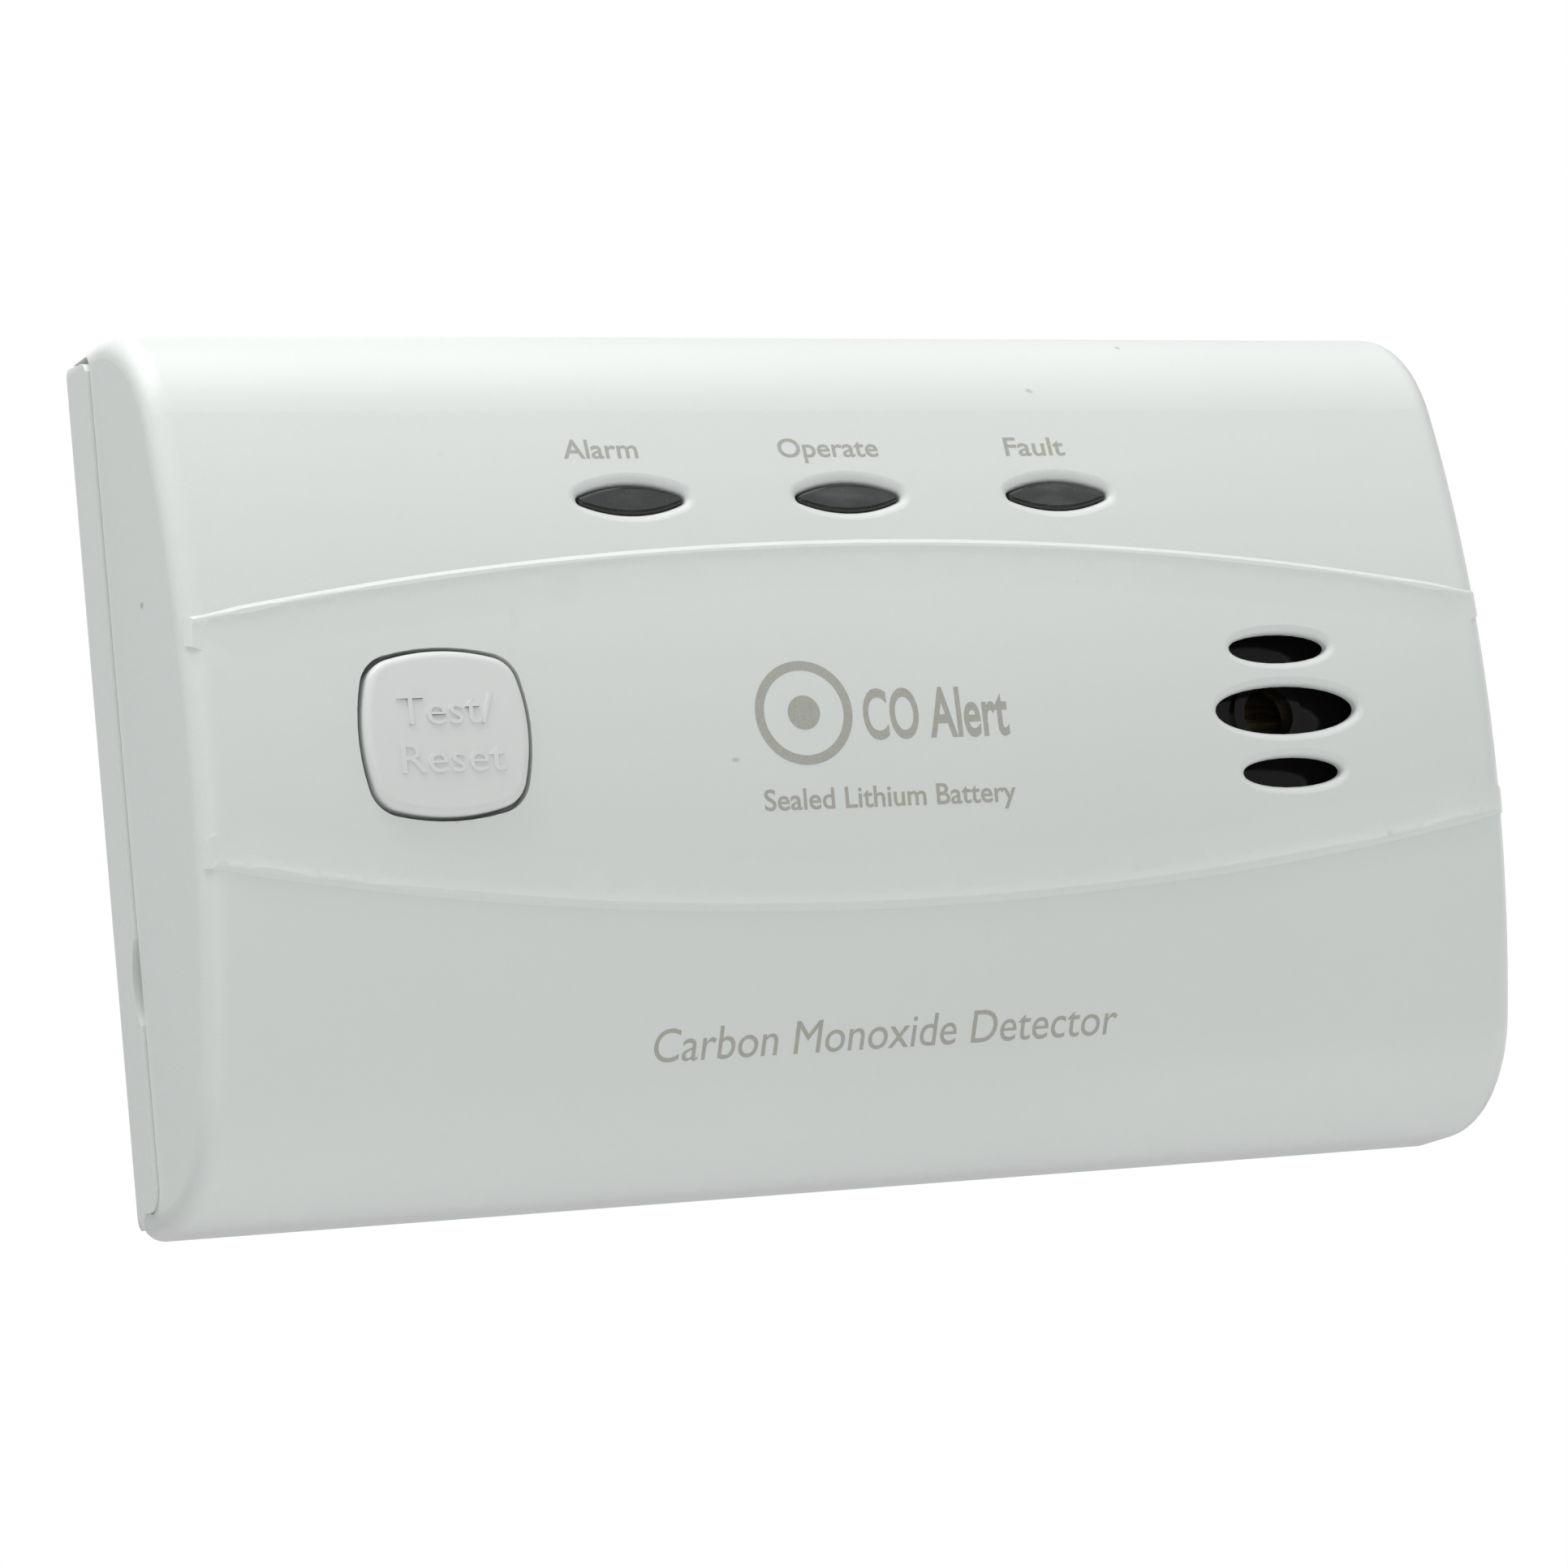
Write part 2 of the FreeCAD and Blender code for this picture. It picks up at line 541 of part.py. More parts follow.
def sounder_housing():
    """Round cup, open towards the board, with a raised port ring in its front face."""
    cup = rod_y(VENT_X, 0, SOUNDER_R, SOUNDER_FRONT_Y, BOARD_FRONT_Y)
    rim = [e for e in cup.Edges if abs(e.CenterOfMass.y - SOUNDER_FRONT_Y) < 0.01]
    cup = cup.makeFillet(0.8, rim)
    ring = rod_y(VENT_X, 0, PORT_R + 1.0, SOUNDER_FRONT_Y - 0.9, SOUNDER_FRONT_Y + 1)
    step = rod_y(VENT_X, 0, 9.0, SOUNDER_FRONT_Y - 0.4, SOUNDER_FRONT_Y + 1)
    cup = fuse_all([cup, step, ring])
    inner_r = SOUNDER_R - SOUNDER_WALL
    ledge_y = DISC_Y - 0.3
    cuts = [rod_y(VENT_X, 0, inner_r, ledge_y, 0)]
    cuts.append(rod_y(VENT_X, 0, inner_r - 1.2, SOUNDER_FRONT_Y + SOUNDER_WALL, 0))
    cuts.append(rod_y(VENT_X, 0, PORT_R, -FAR, 0))
    return cup.cut(Part.makeCompound(cuts)).Solids[0]


def piezo_disc():
    return rod_y(VENT_X, 0, SOUNDER_R - SOUNDER_WALL - 0.1, DISC_Y - 0.3, DISC_Y)


def piezo_ceramic():
    return rod_y(VENT_X, 0, 9.5, DISC_Y, DISC_Y + 0.25)


def sounder_contacts():
    """Two leaf contacts from the board up to the disc: one on the ceramic, one on the brass."""
    leaves = []
    for z, reach in ((0.0, DISC_Y + 0.25), (11.5, DISC_Y)):
        foot = box(VENT_X - 1, VENT_X + 1, BOARD_FRONT_Y - 0.25, BOARD_FRONT_Y, z - 1.5, z + 1.0)
        riser = box(VENT_X - 1, VENT_X + 1, reach, BOARD_FRONT_Y, z + 0.75, z + 1.0)
        leaves.append(fuse_all([foot, riser]).Solids[0])
    return group(leaves)


def sounder_gasket():
    outer = rod_y(VENT_X, 0, SOUNDER_R - 0.9, SOUNDER_FRONT_Y - 1.0, SOUNDER_FRONT_Y)
    return outer.cut(rod_y(VENT_X, 0, SOUNDER_R - 3.2, -FAR, 0))


def co_sensor_body():
    """Drawn metal can with a rolled groove near its working end."""
    can = rod_x(SENSOR_Y, SENSOR_Z, SENSOR_R, SENSOR_X, SENSOR_X + SENSOR_LENGTH - 5)
    ends = [e for e in can.Edges if abs(e.CenterOfMass.x - SENSOR_X) < 0.01]
    can = can.makeFillet(1.0, ends)
    groove_x = SENSOR_X + SENSOR_LENGTH - 9
    groove = Part.makeTorus(SENSOR_R + 0.3, 0.8, V(groove_x, SENSOR_Y, SENSOR_Z), V(1, 0, 0))
    return can.cut(groove).Solids[0]


def co_sensor_cap():
    start = SENSOR_X + SENSOR_LENGTH - 5
    cap = rod_x(SENSOR_Y, SENSOR_Z, SENSOR_R - 0.3, start, start + 5)
    ends = [e for e in cap.Edges if abs(e.CenterOfMass.x - start - 5) < 0.01]
    cap = cap.makeFillet(0.8, ends)
    return cap.cut(rod_x(SENSOR_Y, SENSOR_Z, 1.0, start + 3, start + 6)).Solids[0]


def co_sensor_leads():
    """Two nickel straps from the sensor's ends down to pads on the board."""
    left = SENSOR_X - 0.3
    right = SENSOR_X + SENSOR_LENGTH
    straps = []
    for x0, foot_x0, foot_x1 in ((left, left - 2.5, left), (right, right + 0.3, right + 2.8)):
        riser = box(x0, x0 + 0.3, -14.0, BOARD_FRONT_Y, 0.0, 3.0)
        foot = box(foot_x0, foot_x1, BOARD_FRONT_Y - 0.3, BOARD_FRONT_Y, 0.0, 3.0)
        straps.append(fuse_all([riser, foot]).Solids[0])
    return group(straps)


def battery_cell():
    cell = rod_x(CELL_Y, CELL_Z, CELL_R, CELL_X, CELL_X + CELL_LENGTH)
    cell = cell.makeFillet(0.6, [e for e in cell.Edges if len(e.Vertexes) == 1])
    nub = rod_x(CELL_Y, CELL_Z, 2.7, CELL_X + CELL_LENGTH - 1, CELL_X + CELL_LENGTH + 1)
    return cell.fuse(nub).removeSplitter().Solids[0]


def battery_tabs():
    """Welded nickel tabs at both ends of the cell, standing up to pads on the board's bridge."""
    tabs = []
    for x0 in (CELL_X - 0.3, CELL_X + CELL_LENGTH + 1.0):
        riser = box(x0, x0 + 0.3, -13.5, -10.0, CELL_Z - 2, -6.5)
        arm = box(x0, x0 + 0.3, -13.5, BOARD_FRONT_Y, -8.5, -6.5)
        tabs.append(fuse_all([riser, arm]).Solids[0])
    return group(tabs)


def battery_pad():
    pad = box(-16, 4, -5.2, RECESS_INNER_Y, CELL_Z - 4.5, CELL_Z + 4.5)
    return pad.cut(rod_x(CELL_Y, CELL_Z, CELL_R + 0.02, -FAR, FAR)).Solids[0]


def slide_slot():
    return box(SLIDE_X - 1.8, SLIDE_X + 1.8 + SLIDE_TRAVEL, -6, 1, SLIDE_Z - 1.2, SLIDE_Z + 1.2)


def activation_switch_body():
    """Slide switch on the back of the board: a can with a slot for its actuator."""
    mid = SLIDE_X + SLIDE_TRAVEL / 2
    can = box(mid - 4.2, mid + 4.2, BOARD_BACK_Y, -3.6, -28.9, -25.6)
    well = box(mid - 3.4, mid + 3.4, -6.2, -4.2, -28.3, -26.2)
    slot = box(SLIDE_X - 1.5, SLIDE_X + SLIDE_TRAVEL + 1.5, -5, -3, -28.0, -27.0)
    return can.cut(well).cut(slot).Solids[0]


def activation_slider():
    carriage = box(SLIDE_X - 2.0, SLIDE_X + 2.0, -6.1, -4.3, -28.2, -26.3)
    stalk = box(SLIDE_X - 1.2, SLIDE_X + 1.2, -4.6, -1.1, -27.95, -27.05)
    return fuse_all([carriage, stalk]).Solids[0]


def pan_screw(x, z, head_y, head_r, head_h, shank_r, length):
    """Screw with its head towards the wall: a domed head with a cross recess and a pointed shank."""
    head = rod_y(x, z, head_r, head_y - head_h, head_y)
    top = [e for e in head.Edges if abs(e.CenterOfMass.y - head_y) < 0.01]
    head = head.makeFillet(head_h * 0.6, top)
    shank = rod_y(x, z, shank_r, head_y - head_h - length + 1, head_y - head_h + 0.1)
    tip_y = head_y - head_h - length
    tip = Part.makeCone(0.2, shank_r, 1, V(x, tip_y, z), V(0, 1, 0))
    screw = fuse_all([head, shank, tip])
    arm = head_r * 0.55
    cross = [box(x - arm, x + arm, head_y - 0.6, head_y + 1, z - 0.25, z + 0.25)]
    cross.append(box(x - 0.25, x + 0.25, head_y - 0.6, head_y + 1, z - arm, z + arm))
    return screw.cut(Part.makeCompound(cross)).Solids[0]


def cover_screws():
    return group([pan_screw(x, z, -0.5, 2.4, 1.2, 1.25, 9.0) for x in (-CASE_SCREW_X, CASE_SCREW_X)
                  for z in (-CASE_SCREW_Z, CASE_SCREW_Z)])


def board_screws():
    return group([pan_screw(x, z, -5.8, 2.0, 1.2, 1.0, 6.0) for x, z in BOARD_SCREWS])


def rating_label():
    return box(-25, 25, REAR_OUTER_Y, REAR_OUTER_Y + 0.12, -31.4, -25.6)


def build():
    outer = outer_case()
    nodes = {
        "front_cover": front_cover(outer),
        "rear_cover": rear_cover(),
        "wall_bracket": wall_bracket(),
        "test_button": test_button(),
        "switch_plunger": switch_plunger(),
        "test_switch_body": test_switch_body(),
        "circuit_board": circuit_board(),
        "controller_chip": gull_chip(9.35, 25.2, 10.4, 5.3, 2.0, 8),
        "amplifier_chip": gull_chip(-25.6, 9.0, 5.0, 3.9, 1.5, 3),
        "resistors": resistors(),
        "ceramic_capacitors": ceramic_capacitors(),
        "electrolytic_capacitors": electrolytic_capacitors(),
        "sounder_coil": sounder_coil(),
        "sounder_housing": sounder_housing(),
        "piezo_disc": piezo_disc(),
        "piezo_ceramic": piezo_ceramic(),
        "sounder_contacts": sounder_contacts(),
        "sounder_gasket": sounder_gasket(),
        "co_sensor_body": co_sensor_body(),
        "co_sensor_cap": co_sensor_cap(),
        "co_sensor_leads": co_sensor_leads(),
        "battery_cell": battery_cell(),
        "battery_tabs": battery_tabs(),
        "battery_pad": battery_pad(),
        "activation_switch_body": activation_switch_body(),
        "activation_slider": activation_slider(),
        "cover_screws": cover_screws(),
        "board_screws": board_screws(),
        "rating_label": rating_label(),
    }
    for i, name in enumerate(WINDOW_NODES):
        x = (i - 1) * WINDOW_PITCH
        nodes[name + "_light_pipe"] = light_pipe(x)
        nodes[name + "_led"] = lamp(x)
    return nodes


os.makedirs("parts", exist_ok=True)
for node, shape in build().items():
    shape.exportStep("parts/" + node + ".step")
    extent = shape.optimalBoundingBox(False, False)
    print(node, shape.isValid(), len(shape.Solids), round(shape.Volume, 1),
          [round(v, 2) for v in (extent.XMin, extent.XMax, extent.YMin, extent.YMax, extent.ZMin, extent.ZMax)])
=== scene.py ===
import json
import math
import bmesh
import bpy
from mathutils import Matrix, Vector
from mathutils.bvhtree import BVHTree


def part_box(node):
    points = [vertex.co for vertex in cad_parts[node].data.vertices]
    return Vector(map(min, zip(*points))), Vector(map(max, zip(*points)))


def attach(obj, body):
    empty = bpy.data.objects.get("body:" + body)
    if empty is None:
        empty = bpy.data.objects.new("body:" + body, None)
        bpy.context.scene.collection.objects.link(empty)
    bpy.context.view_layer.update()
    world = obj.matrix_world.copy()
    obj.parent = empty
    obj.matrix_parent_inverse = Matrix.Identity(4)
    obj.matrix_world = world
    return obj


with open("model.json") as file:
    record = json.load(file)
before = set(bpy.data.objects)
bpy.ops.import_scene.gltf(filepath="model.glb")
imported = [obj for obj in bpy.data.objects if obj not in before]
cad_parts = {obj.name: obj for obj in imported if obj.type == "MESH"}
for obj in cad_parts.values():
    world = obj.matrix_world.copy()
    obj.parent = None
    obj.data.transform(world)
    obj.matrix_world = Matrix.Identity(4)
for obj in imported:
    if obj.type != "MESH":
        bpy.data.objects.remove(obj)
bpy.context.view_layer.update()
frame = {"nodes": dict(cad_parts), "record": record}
nodes = frame["nodes"]
case_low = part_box("front_cover")[0]

MM = 0.001

# Camera: where it looks from, how far it stands off and the lens that goes with that
CAMERA_AZIMUTH = math.radians(24.102)
CAMERA_ELEVATION = math.radians(-9.01)
CAMERA_ROLL = math.radians(-6.161)
CAMERA_DISTANCE = 408.315 * MM
CAMERA_TARGET = Vector((-5.936, -13.333, -3.663)) * MM
CAMERA_LENS = 107.172
CAMERA_SENSOR = 36.0
CAMERA_NEAREST = 0.01

# Words on the case and the button, with positions from the middle of the case. Each row is the
# piece, its words, then in mm the height of a capital, the whole length, the left end and the
# baseline, then weight and slant.
WINDOW_WORDS = (
    ("alarm_print", "Alarm", 1.78, 6.87, -26.05, 24.12, 0.012, 0.0),
    ("operate_print", "Operate", 1.78, 9.58, -5.96, 24.12, 0.012, 0.0),
    ("fault_print", "Fault", 1.78, 5.92, 16.12, 24.12, 0.012, 0.0),
)
CASE_WORDS = (
    ("mark_print", "CO Alert", 4.45, 13.9, -2.05, -1.6, 0.02, 0.0),
    ("tag_print", "Sealed Lithium Battery", 1.83, 23.9, -12.04, -7.52, 0.012, 0.0),
    ("type_print", "Carbon Monoxide Detector", 2.7, 44.0, -23.06, -28.0, 0.0, 0.15),
)
BUTTON_WORDS = (
    ("test_letters", "Test/", 2.5, 8.38, -44.5, 0.7, 0.0, 0.0),
    ("reset_letters", "Reset", 2.45, 9.1, -44.5, -3.35, 0.0, 0.0),
)

# The ring and its dot beside the name, in mm: piece, outer radius, inner radius. The dot is a ring
# too, with a hole too small to see.
RINGS = (("ring_print", 4.55, 3.72), ("ring_core_print", 1.5, 0.02))
RING_X = -7.6
RING_Z = 0.83
RING_STEPS = 64

# How print and raised letters are made from flat drawings; the weld is in the font's own units
PRINT_RISE = 0.02 * MM
LETTER_RISE = 0.18 * MM
DRAWING_SINK = 0.03 * MM
ROW_HEIGHT = 0.5 * MM
CURVE_STEPS = 5
WELD_DISTANCE = 1e-5
BEVEL_WIDTH = 0.07 * MM
BEVEL_SEGMENTS = 2
BEVEL_ANGLE = math.radians(50)
WELL_IN_FRONT = -1.0

# Floor: far enough below the case to stay out of the main view
FLOOR_DROP = 0.5
FLOOR_HALF = 3.0

# Studio: brightness of the surround, then each softbox's azimuth and elevation in degrees, its
# distance and size in metres, and its power in watts
AMBIENT = 0.25
SOFTBOXES = (
    ("left_high", -90, 65, 0.9, 0.6, 5.1),
    ("left", -75, 0, 0.9, 0.6, 0.15),
    ("front_left", -30, 0, 0.9, 0.6, 1.5),
    ("front_top", 0, 65, 0.9, 0.6, 1.3),
    ("overhead", 0, 88, 0.9, 0.6, 1.8),
    ("front_high", 15, 35, 0.9, 0.6, 1.0),
    ("right_high", 60, 35, 0.9, 0.6, 0.65),
    ("right", 105, 0, 0.9, 0.6, 1.2),
    ("left_low", -60, -33, 0.6, 0.42, 0.32),
    ("right_low", 70, -33, 0.6, 0.42, 0.48),
    ("behind", 180, 25, 0.9, 0.6, 1.0),
)


# ---------------------------------------------------------------- material helpers

def rgba(red, green, blue):
    return (red, green, blue, 1.0)


def shade(tint, share=1.0):
    """A tint at a share of its brightness, as a colour."""
    return rgba(*(share * channel for channel in tint))


WHITE = rgba(1.0, 1.0, 1.0)
DUST_BROWN = rgba(0.30, 0.26, 0.22)
SCUFF_BROWN = rgba(0.62, 0.50, 0.42)


class Nodes:
    """A short way to build one material's node tree."""

    def __init__(self, name):
        self.material = bpy.data.materials.new(name)
        self.material.use_nodes = True
        self.tree = self.material.node_tree
        self.shader = self.tree.nodes["Principled BSDF"]
        self.coordinates = self.tree.nodes.new("ShaderNodeTexCoord").outputs["Object"]

    def plug(self, node, key, value):
        """Sets one input to a number or colour, or links it to another node's output."""
        if isinstance(value, bpy.types.NodeSocket):
            self.tree.links.new(value, node.inputs[key])
        else:
            node.inputs[key].default_value = value

    def add(self, kind, inputs=None, **settings):
        node = self.tree.nodes.new(kind)
        for key, value in settings.items():
            setattr(node, key, value)
        for key, value in (inputs or {}).items():
            self.plug(node, key, value)
        return node

    def noise(self, scale, detail=2.0, roughness=0.5, stretch=None):
        """Noise over the object's own coordinates; scale is the number of features per metre."""
        vector = self.coordinates
        if stretch:
            inputs = {"Vector": vector, "Scale": stretch}
            vector = self.add("ShaderNodeMapping", inputs).outputs["Vector"]
        inputs = {"Vector": vector, "Scale": scale, "Detail": detail, "Roughness": roughness}
        return self.add("ShaderNodeTexNoise", inputs).outputs["Fac"]

    def cells(self, scale):
        """Distance from the middle of the nearest cell; scale is the number of cells per metre."""
        inputs = {"Vector": self.coordinates, "Scale": scale}
        return self.add("ShaderNodeTexVoronoi", inputs).outputs["Distance"]

    def spread(self, value, low=0.3, high=0.7, out_low=0.0, out_high=1.0):
        """Stretches low..high to out_low..out_high; most of a noise lies between 0.3 and 0.7."""
        inputs = {"Value": value, "From Min": low, "From Max": high,
                  "To Min": out_low, "To Max": out_high}
        return self.add("ShaderNodeMapRange", inputs).outputs["Result"]

    def mix(self, factor, first, second):
        """Blends two colours. The mix node has sockets A and B for every kind of value, so the
        ones for colour are picked by number."""
        node = self.add("ShaderNodeMix", data_type="RGBA", blend_type="MIX")
        for index, value in ((0, factor), (6, first), (7, second)):
            self.plug(node, index, value)
        return node.outputs[2]

    def colour(self, value):
        self.plug(self.shader, "Base Color", value)

    def roughness(self, value):
        self.plug(self.shader, "Roughness", value)

    def bump(self, height, distance, strength=1.0, under=None):
        """Bumps as high as distance, in metres, on top of the normal under if it is given."""
        inputs = {"Height": height, "Distance": distance, "Strength": strength}
        if under is not None:
            inputs["Normal"] = under
        normal = self.add("ShaderNodeBump", inputs).outputs["Normal"]
        self.plug(self.shader, "Normal", normal)
        return normal

    def set(self, **values):
        for key, value in values.items():
            self.plug(self.shader, key.replace("_", " "), value)


# ---------------------------------------------------------------- materials

def moulded_plastic(name, tint, grain=2600.0, grain_depth=0.019 * MM, rough=0.42, marks=0.0):
    """Moulded plastic: spark-eroded grain, faint tone drift, and dust specks and scuffs as
    strong as marks."""
    made = Nodes(name)
    drift = made.spread(made.noise(28.0, detail=3.0))
    tone = made.mix(drift, shade(tint, 0.975), shade(tint))
    fine = made.noise(grain, detail=3.0, roughness=0.6)
    grain_tone = made.spread(fine, 0.25, 0.75, out_high=0.05)
    tone = made.mix(grain_tone, tone, shade(tint, 0.8))
    if marks:
        specks = made.spread(made.noise(420.0, detail=1.0), 0.80, 0.84, out_high=marks)
        tone = made.mix(specks, tone, DUST_BROWN)
        scuffs = made.noise(260.0, detail=4.0, roughness=0.7, stretch=(1.0, 1.0, 0.25))
        scuffs = made.spread(scuffs, 0.70, 0.80, out_high=0.35 * marks)
        tone = made.mix(scuffs, tone, SCUFF_BROWN)
    made.colour(tone)
    made.roughness(made.spread(fine, out_low=rough - 0.05, out_high=rough + 0.06))
    wave = made.noise(grain * 0.22, detail=2.0)
    long_wave = made.bump(wave, grain_depth * 1.6, strength=0.6)
    made.bump(fine, grain_depth, under=long_wave)
    return made.material


def gloss_plastic(name, tint, rough, wave_depth=0.02 * MM):
    """Glossy plastic with long, shallow waves from the mould."""
    made = Nodes(name)
    wave = made.noise(220.0)
    fine = made.noise(3200.0)
    made.colour(made.mix(made.spread(fine), shade(tint, 0.75), shade(tint)))
    made.roughness(made.spread(fine, out_low=rough * 0.8, out_high=rough * 1.3))
    made.bump(wave, wave_depth, strength=0.5)
    return made.material


def metal(name, tint, rough, stretch, scale=1800.0):
    """Plated or drawn metal; its grain runs along the axis that stretch has a small number for."""
    made = Nodes(name)
    grain = made.noise(scale, detail=3.0, roughness=0.7, stretch=stretch)
    tarnish = made.spread(made.noise(240.0, detail=3.0), 0.45, 0.75)
    tone = made.mix(made.spread(grain), shade(tint, 0.8), shade(tint))
    made.colour(made.mix(tarnish, tone, shade(tint, 0.7)))
    made.roughness(made.spread(grain, out_low=rough * 0.75, out_high=rough * 1.35))
    made.bump(grain, 0.004 * MM, strength=0.6)
    made.set(Metallic=1.0)
    return made.material


def lamp(name, tint):
    """Clear tinted epoxy of an indicator lamp."""
    made = Nodes(name)
    swirl = made.noise(700.0)
    made.colour(made.mix(made.spread(swirl), shade(tint, 0.8), shade(tint)))
    made.roughness(made.spread(swirl, out_low=0.06, out_high=0.14))
    made.bump(swirl, 0.02 * MM, strength=0.4)
    made.set(Transmission_Weight=0.35, IOR=1.5)
    return made.material


def smoked_lens():
    """Smoked acrylic: dark, polished, cloudy in patches, with painted brown shade on the faces that
    point down, and some dust.
    """
    made = Nodes("smoked_lens_clear")
    wave = made.noise(180.0)
    cloud = made.noise(330.0, roughness=0.6, stretch=(0.5, 1.0, 1.6))
    cloud = made.spread(cloud, 0.45, 0.72)
    tone = made.mix(cloud, rgba(0.026, 0.033, 0.031), rgba(0.075, 0.088, 0.080))
    normal = made.add("ShaderNodeNewGeometry").outputs["Normal"]
    facing = made.add("ShaderNodeSeparateXYZ", {"Vector": normal})
    # Painted shade: faces that point down are tinted dark brown.
    painted_shade_facing_down = made.spread(facing.outputs["Z"], -0.25, -0.65)
    tone = made.mix(painted_shade_facing_down, tone, rgba(0.050, 0.041, 0.035))
    dust = made.noise(5200.0, detail=1.0)
    dust = made.spread(dust, 0.70, 0.78, out_high=0.35)
    made.colour(made.mix(dust, tone, rgba(0.30, 0.30, 0.28)))
    made.roughness(made.spread(wave, out_low=0.04, out_high=0.10))
    made.bump(wave, 0.08 * MM, strength=0.8)
    made.set(Transmission_Weight=0.25, IOR=1.49)
    return made.material


def print_ink():
    """Olive-grey pad-printing ink, a little uneven."""
    made = Nodes("print_ink")
    grain = made.noise(5200.0, roughness=0.7)
    tone = made.mix(made.spread(grain), rgba(0.40, 0.405, 0.355), rgba(0.48, 0.485, 0.43))
    made.colour(tone)
    made.roughness(made.spread(grain, out_low=0.5, out_high=0.62))
    made.bump(grain, 0.006 * MM)
    return made.material


def solder_mask():
    """Green board: fibre weave under the mask, with copper tracks showing as lighter lanes."""
    made = Nodes("solder_mask_green")
    inputs = {"Vector": made.coordinates, "Scale": 190.0, "Distortion": 6.0, "Detail": 1.0}
    across = made.add("ShaderNodeTexWave", inputs, bands_direction="X")
    lanes = made.spread(across.outputs["Fac"], 0.62, 0.70)
    weave = made.cells(1500.0)
    tone = made.mix(lanes, rgba(0.012, 0.12, 0.045), rgba(0.03, 0.22, 0.085))
    weave_tone = made.spread(weave, 0.2, 0.7, out_high=0.3)
    made.colour(made.mix(weave_tone, tone, rgba(0.01, 0.08, 0.03)))
    made.roughness(made.spread(weave, 0.2, 0.7, out_low=0.25, out_high=0.4))
    made.bump(lanes, 0.02 * MM, strength=0.6)
    return made.material


def foam(name):
    """Closed-cell foam: darker in the middle of each cell."""
    made = Nodes(name)
    cells = made.cells(2200.0)
    tone = made.spread(cells, 0.1, 0.6)
    made.colour(made.mix(tone, rgba(0.008, 0.008, 0.008), rgba(0.045, 0.045, 0.045)))
    made.roughness(made.spread(cells, 0.1, 0.6, out_low=0.8, out_high=0.95))
    made.bump(cells, 0.12 * MM)
    return made.material


def label_paper():
    """Coated white label with faint grey bars where a maker would print."""
    made = Nodes("label_paper")
    fibre = made.noise(2400.0, detail=4.0, roughness=0.7)
    inputs = {"Vector": made.coordinates, "Scale": 110.0}
    bars = made.add("ShaderNodeTexWave", inputs, bands_direction="Z")
    bars = made.spread(bars.outputs["Fac"], 0.86, 0.90, out_high=0.35)
    tone = made.mix(made.spread(fibre), rgba(0.80, 0.80, 0.775), rgba(0.86, 0.86, 0.84))
    made.colour(made.mix(bars, tone, rgba(0.35, 0.36, 0.36)))
    made.roughness(made.spread(fibre, out_low=0.45, out_high=0.6))
    made.bump(fibre, 0.01 * MM)
    return made.material


CASE_TINT = (0.79, 0.824, 0.80)
BUTTON_TINT = (0.80, 0.82, 0.805)
MATERIALS = {
    "bracket_white": moulded_plastic(
        "bracket_plastic", (0.74, 0.75, 0.735), grain=1900.0, grain_depth=0.02 * MM, rough=0.5),
    "smoked_lens": smoked_lens(),
    "sounder_black": gloss_plastic(
        "sounder_gloss", (0.011, 0.010, 0.010), rough=0.12, wave_depth=0.06 * MM),
    "board_green": solder_mask(),
    "lamp_red": lamp("lamp_red_clear", (0.55, 0.03, 0.02)),
    "lamp_green": lamp("lamp_green_clear", (0.08, 0.5, 0.12)),
    "lamp_amber": lamp("lamp_amber_clear", (0.72, 0.42, 0.05)),
    "chip_black": gloss_plastic("chip_epoxy", (0.03, 0.03, 0.032), rough=0.5),
    "resistor_black": gloss_plastic("resistor_glaze", (0.035, 0.035, 0.04), rough=0.3),
    "ceramic_tan": moulded_plastic(
        "fired_ceramic", (0.5, 0.38, 0.24), grain=4200.0, grain_depth=0.01 * MM, rough=0.45),
    "capacitor_sleeve": gloss_plastic("shrink_sleeve", (0.04, 0.06, 0.15), rough=0.22),
    "coil_copper": metal(
        "enamelled_copper", (0.66, 0.30, 0.13), rough=0.25, stretch=(0.2, 1.0, 1.0)),
    "disc_brass": metal("rolled_brass", (0.76, 0.58, 0.27), rough=0.28, stretch=(0.1, 1.0, 1.0)),
    "ceramic_white": moulded_plastic(
        "silvered_ceramic", (0.75, 0.74, 0.70), grain=3800.0, grain_depth=0.01 * MM, rough=0.35),
    "contact_nickel": metal(
        "nickel_plate", (0.72, 0.71, 0.67), rough=0.22, stretch=(0.2, 1.0, 1.0)),
    "foam_black": foam("closed_cell_foam"),
    "sensor_steel": metal("drawn_steel", (0.68, 0.68, 0.68), rough=0.3, stretch=(0.1, 1.0, 1.0)),
    "sensor_cap_grey": moulded_plastic(
        "sensor_cap_plastic", (0.10, 0.10, 0.11), grain_depth=0.015 * MM, rough=0.5),
    "cell_wrap": gloss_plastic(
        "cell_shrink_wrap", (0.10, 0.14, 0.22), rough=0.25, wave_depth=0.05 * MM),
    "screw_steel": metal("zinc_plate", (0.62, 0.63, 0.62), rough=0.3, stretch=(1.0, 0.2, 1.0)),
    "switch_black": gloss_plastic("switch_moulding", (0.035, 0.035, 0.035), rough=0.45),
    "slider_black": gloss_plastic("slider_moulding", (0.045, 0.045, 0.045), rough=0.4),
    "label_white": label_paper(),
    "button_white": moulded_plastic(
        "button_plastic", BUTTON_TINT, grain=3000.0, grain_depth=0.006 * MM, rough=0.40),
    "case_white": moulded_plastic("case_plastic", CASE_TINT, marks=0.5),
}
INK = print_ink()


